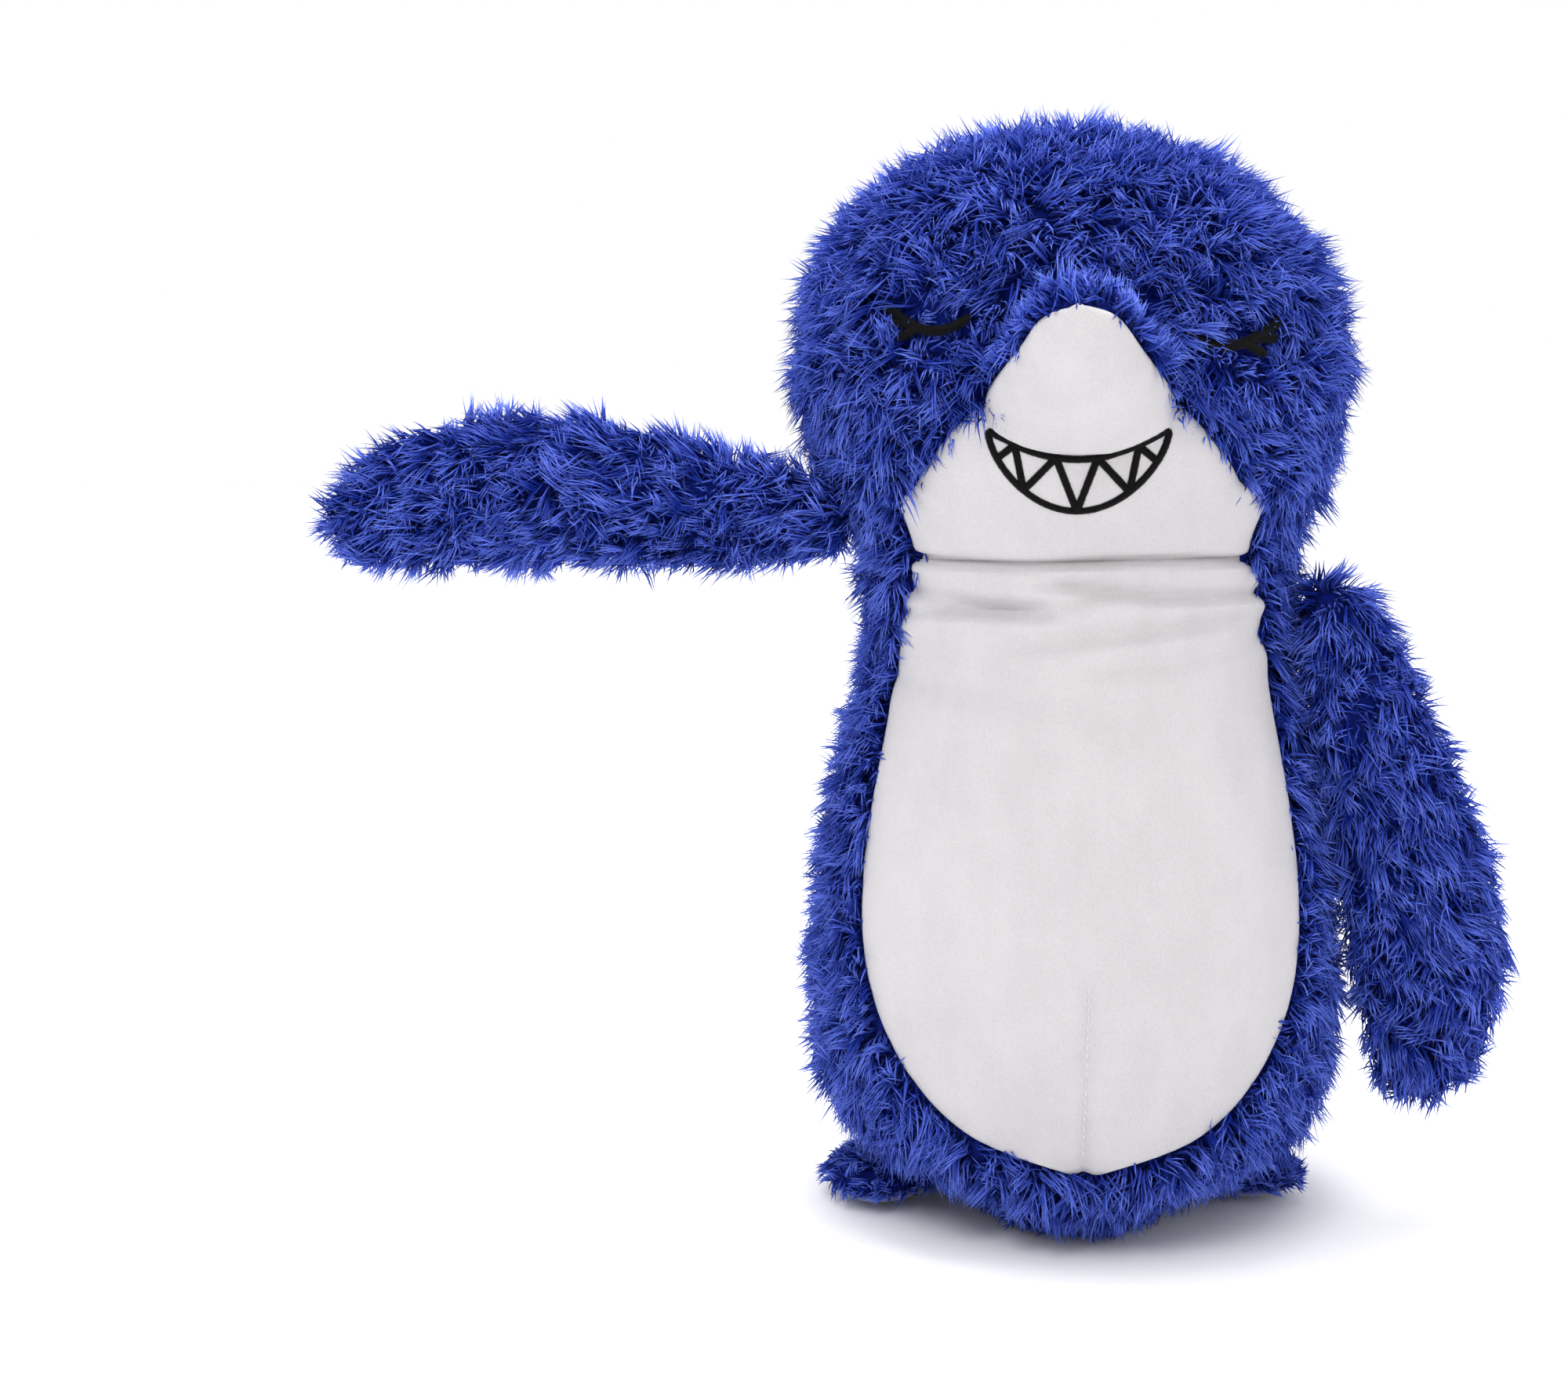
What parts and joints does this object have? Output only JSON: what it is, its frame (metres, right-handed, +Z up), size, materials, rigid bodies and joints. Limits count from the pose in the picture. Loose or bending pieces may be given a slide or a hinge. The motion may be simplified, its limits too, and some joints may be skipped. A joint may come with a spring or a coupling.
{
  "type": "plush shark",
  "caption": "Upright stuffed shark with shaggy fur panels, a white front, a raised arm flipper and a flat weighted base.",
  "frame": {"origin": "centre of the flat underside of the base panel, on the floor that the shark stands on", "axes": "+Z up, -Y the way the shark faces, +X to the right of someone who faces it"},
  "size_m": [0.4128, 0.2809, 0.3785],
  "materials": {
    "blue_fur": "long curly shaggy pile, matt with lighter tips",
    "blue_base_cloth": "short matt knit",
    "white_velour": "short brushed velour",
    "black_thread": "satin stitch embroidery",
    "blue_thread": "sewing thread",
    "white_thread": "sewing thread",
    "polyester_filling": "loose fibre",
    "pouch_cloth": "plain weave",
    "ribbon": "blank woven ribbon"
  },
  "bodies": {
    "torso": {"torso_left_fur_panel": "blue_fur", "torso_right_fur_panel": "blue_fur", "belly_panel": "white_velour", "base_panel": "blue_base_cloth", "pellet_pouch": "pouch_cloth", "torso_stuffing": "polyester_filling", "belly_dart_stitching": "white_thread", "back_closure_stitching": "blue_thread", "care_label": "ribbon"},
    "neck": {"neck_stuffing": "polyester_filling", "neck_seam_band": "white_velour"},
    "head": {"head_left_fur_panel": "blue_fur", "head_right_fur_panel": "blue_fur", "face_panel": "white_velour", "head_stuffing": "polyester_filling", "snout_underside": "white_velour", "snout_fur_top": "blue_fur", "snout_stuffing": "polyester_filling", "mouth_embroidery": "black_thread", "left_eye_embroidery": "black_thread", "right_eye_embroidery": "black_thread"},
    "left_flipper": {"left_flipper_front_panel": "blue_fur", "left_flipper_back_panel": "blue_fur", "left_flipper_stuffing": "polyester_filling"},
    "right_flipper": {"right_flipper_front_panel": "blue_fur", "right_flipper_back_panel": "blue_fur", "right_flipper_stuffing": "polyester_filling"},
    "left_fluke": {"left_fluke_bottom_panel": "blue_base_cloth", "left_fluke_top_panel": "blue_fur", "left_fluke_stuffing": "polyester_filling"},
    "right_fluke": {"right_fluke_bottom_panel": "blue_base_cloth", "right_fluke_top_panel": "blue_fur", "right_fluke_stuffing": "polyester_filling"},
    "dorsal_fin": {"dorsal_fin_left_panel": "blue_fur", "dorsal_fin_right_panel": "blue_fur", "dorsal_fin_stuffing": "polyester_filling"}
  },
  "joints": [
    {"name": "head_turn", "type": "hinge", "parent": "torso", "child": "neck", "pos_m": [0, 0, 0.233], "axis": [0, 0, 1], "range_deg": [-30, 30], "stiffness_Nm_per_rad": 0.5},
    {"name": "head_nod", "type": "hinge", "parent": "neck", "child": "head", "pos_m": [-0.00105, -0.01496, 0.238], "axis": [0.9976, -0.0698, 0], "range_deg": [-9, 7], "stiffness_Nm_per_rad": 2.5},
    {"name": "left_flipper_swing", "type": "hinge", "parent": "torso", "child": "left_flipper", "pos_m": [-0.09153, -0.02, 0.246], "axis": [0, 1, 0], "range_deg": [-80, 8]},
    {"name": "right_flipper_swing", "type": "hinge", "parent": "torso", "child": "right_flipper", "pos_m": [0.0846, -0.02, 0.214], "axis": [0, -1, 0], "range_deg": [0, 90]},
    {"name": "left_fluke_sweep", "type": "hinge", "parent": "torso", "child": "left_fluke", "pos_m": [-0.051, -0.008, 0.0081], "axis": [0, 0, -1], "range_deg": [-12, 45]},
    {"name": "right_fluke_sweep", "type": "hinge", "parent": "torso", "child": "right_fluke", "pos_m": [0.051, -0.008, 0.0081], "axis": [0, 0, 1], "range_deg": [-45, 5]},
    {"name": "dorsal_fin_flop", "type": "hinge", "parent": "torso", "child": "dorsal_fin", "pos_m": [0, 0.08411, 0.132], "axis": [0, -0.1392, 0.9903], "range_deg": [-35, 35], "stiffness_Nm_per_rad": 0.08}
  ]
}
